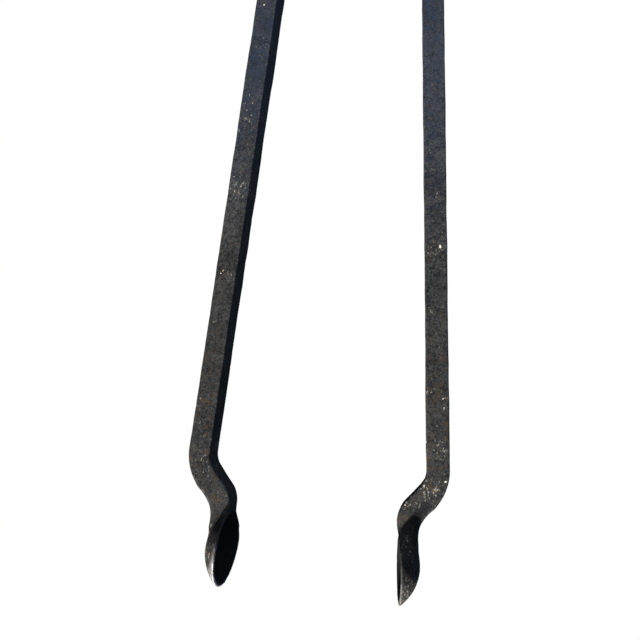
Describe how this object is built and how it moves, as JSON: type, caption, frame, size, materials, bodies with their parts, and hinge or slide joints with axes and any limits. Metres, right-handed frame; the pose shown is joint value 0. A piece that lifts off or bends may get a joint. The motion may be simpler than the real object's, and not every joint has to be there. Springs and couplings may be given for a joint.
{
  "type": "blacksmith tongs",
  "caption": "Long hand-forged pick-up tongs: flat-bar arms crossing at a rivet, with facing dished cups for jaws and round reins to grip.",
  "frame": {"origin": "on the rivet's axis, midway between the two bosses", "axes": "+Z along the rivet's axis, up when the tongs lie flat; -Y towards the cups and +Y along the reins; +X towards the right half's arm"},
  "size_m": [0.1104, 0.6994, 0.0306],
  "materials": {
    "forged_bar": "black forge scale, matt, worn bright along the edges",
    "rivet_steel": "hammered, dark, with a worn crown",
    "washer_steel": "dark scale, rubbed where it turns"
  },
  "bodies": {
    "left": {"left_half": "forged_bar", "pivot_rivet": "rivet_steel", "upper_washer": "washer_steel", "lower_washer": "washer_steel"},
    "right": {"right_half": "forged_bar"}
  },
  "joints": [
    {"name": "rivet_turn", "type": "hinge", "parent": "left", "child": "right", "pos_m": [0, 0, 0], "axis": [0, 0, 1], "range_deg": [-8.4, 30]}
  ]
}
